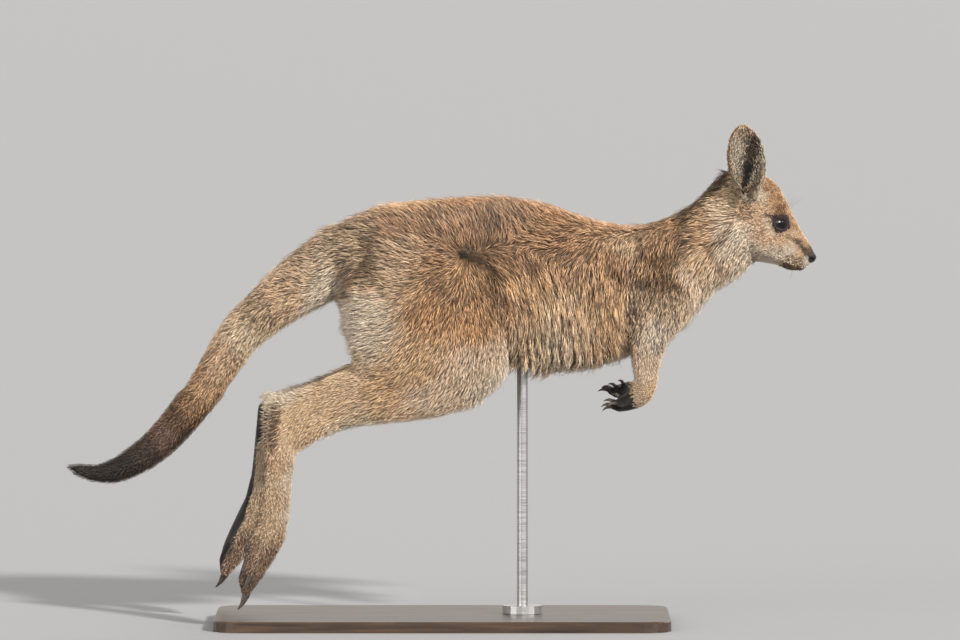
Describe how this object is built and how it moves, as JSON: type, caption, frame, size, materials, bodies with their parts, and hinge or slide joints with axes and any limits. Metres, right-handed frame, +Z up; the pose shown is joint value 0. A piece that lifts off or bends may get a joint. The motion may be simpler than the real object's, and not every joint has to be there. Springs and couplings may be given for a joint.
{
  "type": "young eastern grey kangaroo, leaping, on a display stand",
  "caption": "Life-size still model of a young grey kangaroo in mid-leap, tail stretched back and hind feet trailing, held on a rod over a flat board.",
  "frame": {"origin": "underside of the stand's base, below the middle of the model's bounding box", "axes": "+X towards the nose, +Y to the animal's left, +Z up"},
  "size_m": [0.8233, 0.24, 0.5504],
  "materials": {
    "coat": "dense brown-grey fur, buff below, dark at the tail's end",
    "dark_skin": "bare black skin",
    "claw": "black horn, satin",
    "eye": "very dark brown, wet gloss",
    "board": "dark satin varnish",
    "steel": "brushed"
  },
  "bodies": {
    "root": {"head": "coat", "neck": "coat", "trunk": "coat", "tail_root": "coat", "tail_upper": "coat", "tail_lower": "coat", "tail_tip": "coat", "thigh_right": "coat", "shank_right": "coat", "foot_right": "coat", "upper_arm_right": "coat", "forearm_right": "coat", "ear_right": "coat", "thigh_left": "coat", "shank_left": "coat", "foot_left": "coat", "upper_arm_left": "coat", "forearm_left": "coat", "ear_left": "coat", "nose": "dark_skin", "hand_right": "dark_skin", "hand_left": "dark_skin", "eye_right": "eye", "eye_left": "eye", "claw_right_finger_1": "claw", "claw_right_finger_2": "claw", "claw_right_finger_3": "claw", "claw_right_finger_4": "claw", "claw_right_finger_5": "claw", "claw_right_fourth_toe": "claw", "claw_right_fifth_toe": "claw", "claw_right_third_toe": "claw", "claw_right_second_toe": "claw", "claw_left_finger_1": "claw", "claw_left_finger_2": "claw", "claw_left_finger_3": "claw", "claw_left_finger_4": "claw", "claw_left_finger_5": "claw", "claw_left_fourth_toe": "claw", "claw_left_fifth_toe": "claw", "claw_left_third_toe": "claw", "claw_left_second_toe": "claw", "stand_base": "board", "stand_rod": "steel", "stand_collar": "steel"}
  },
  "joints": []
}
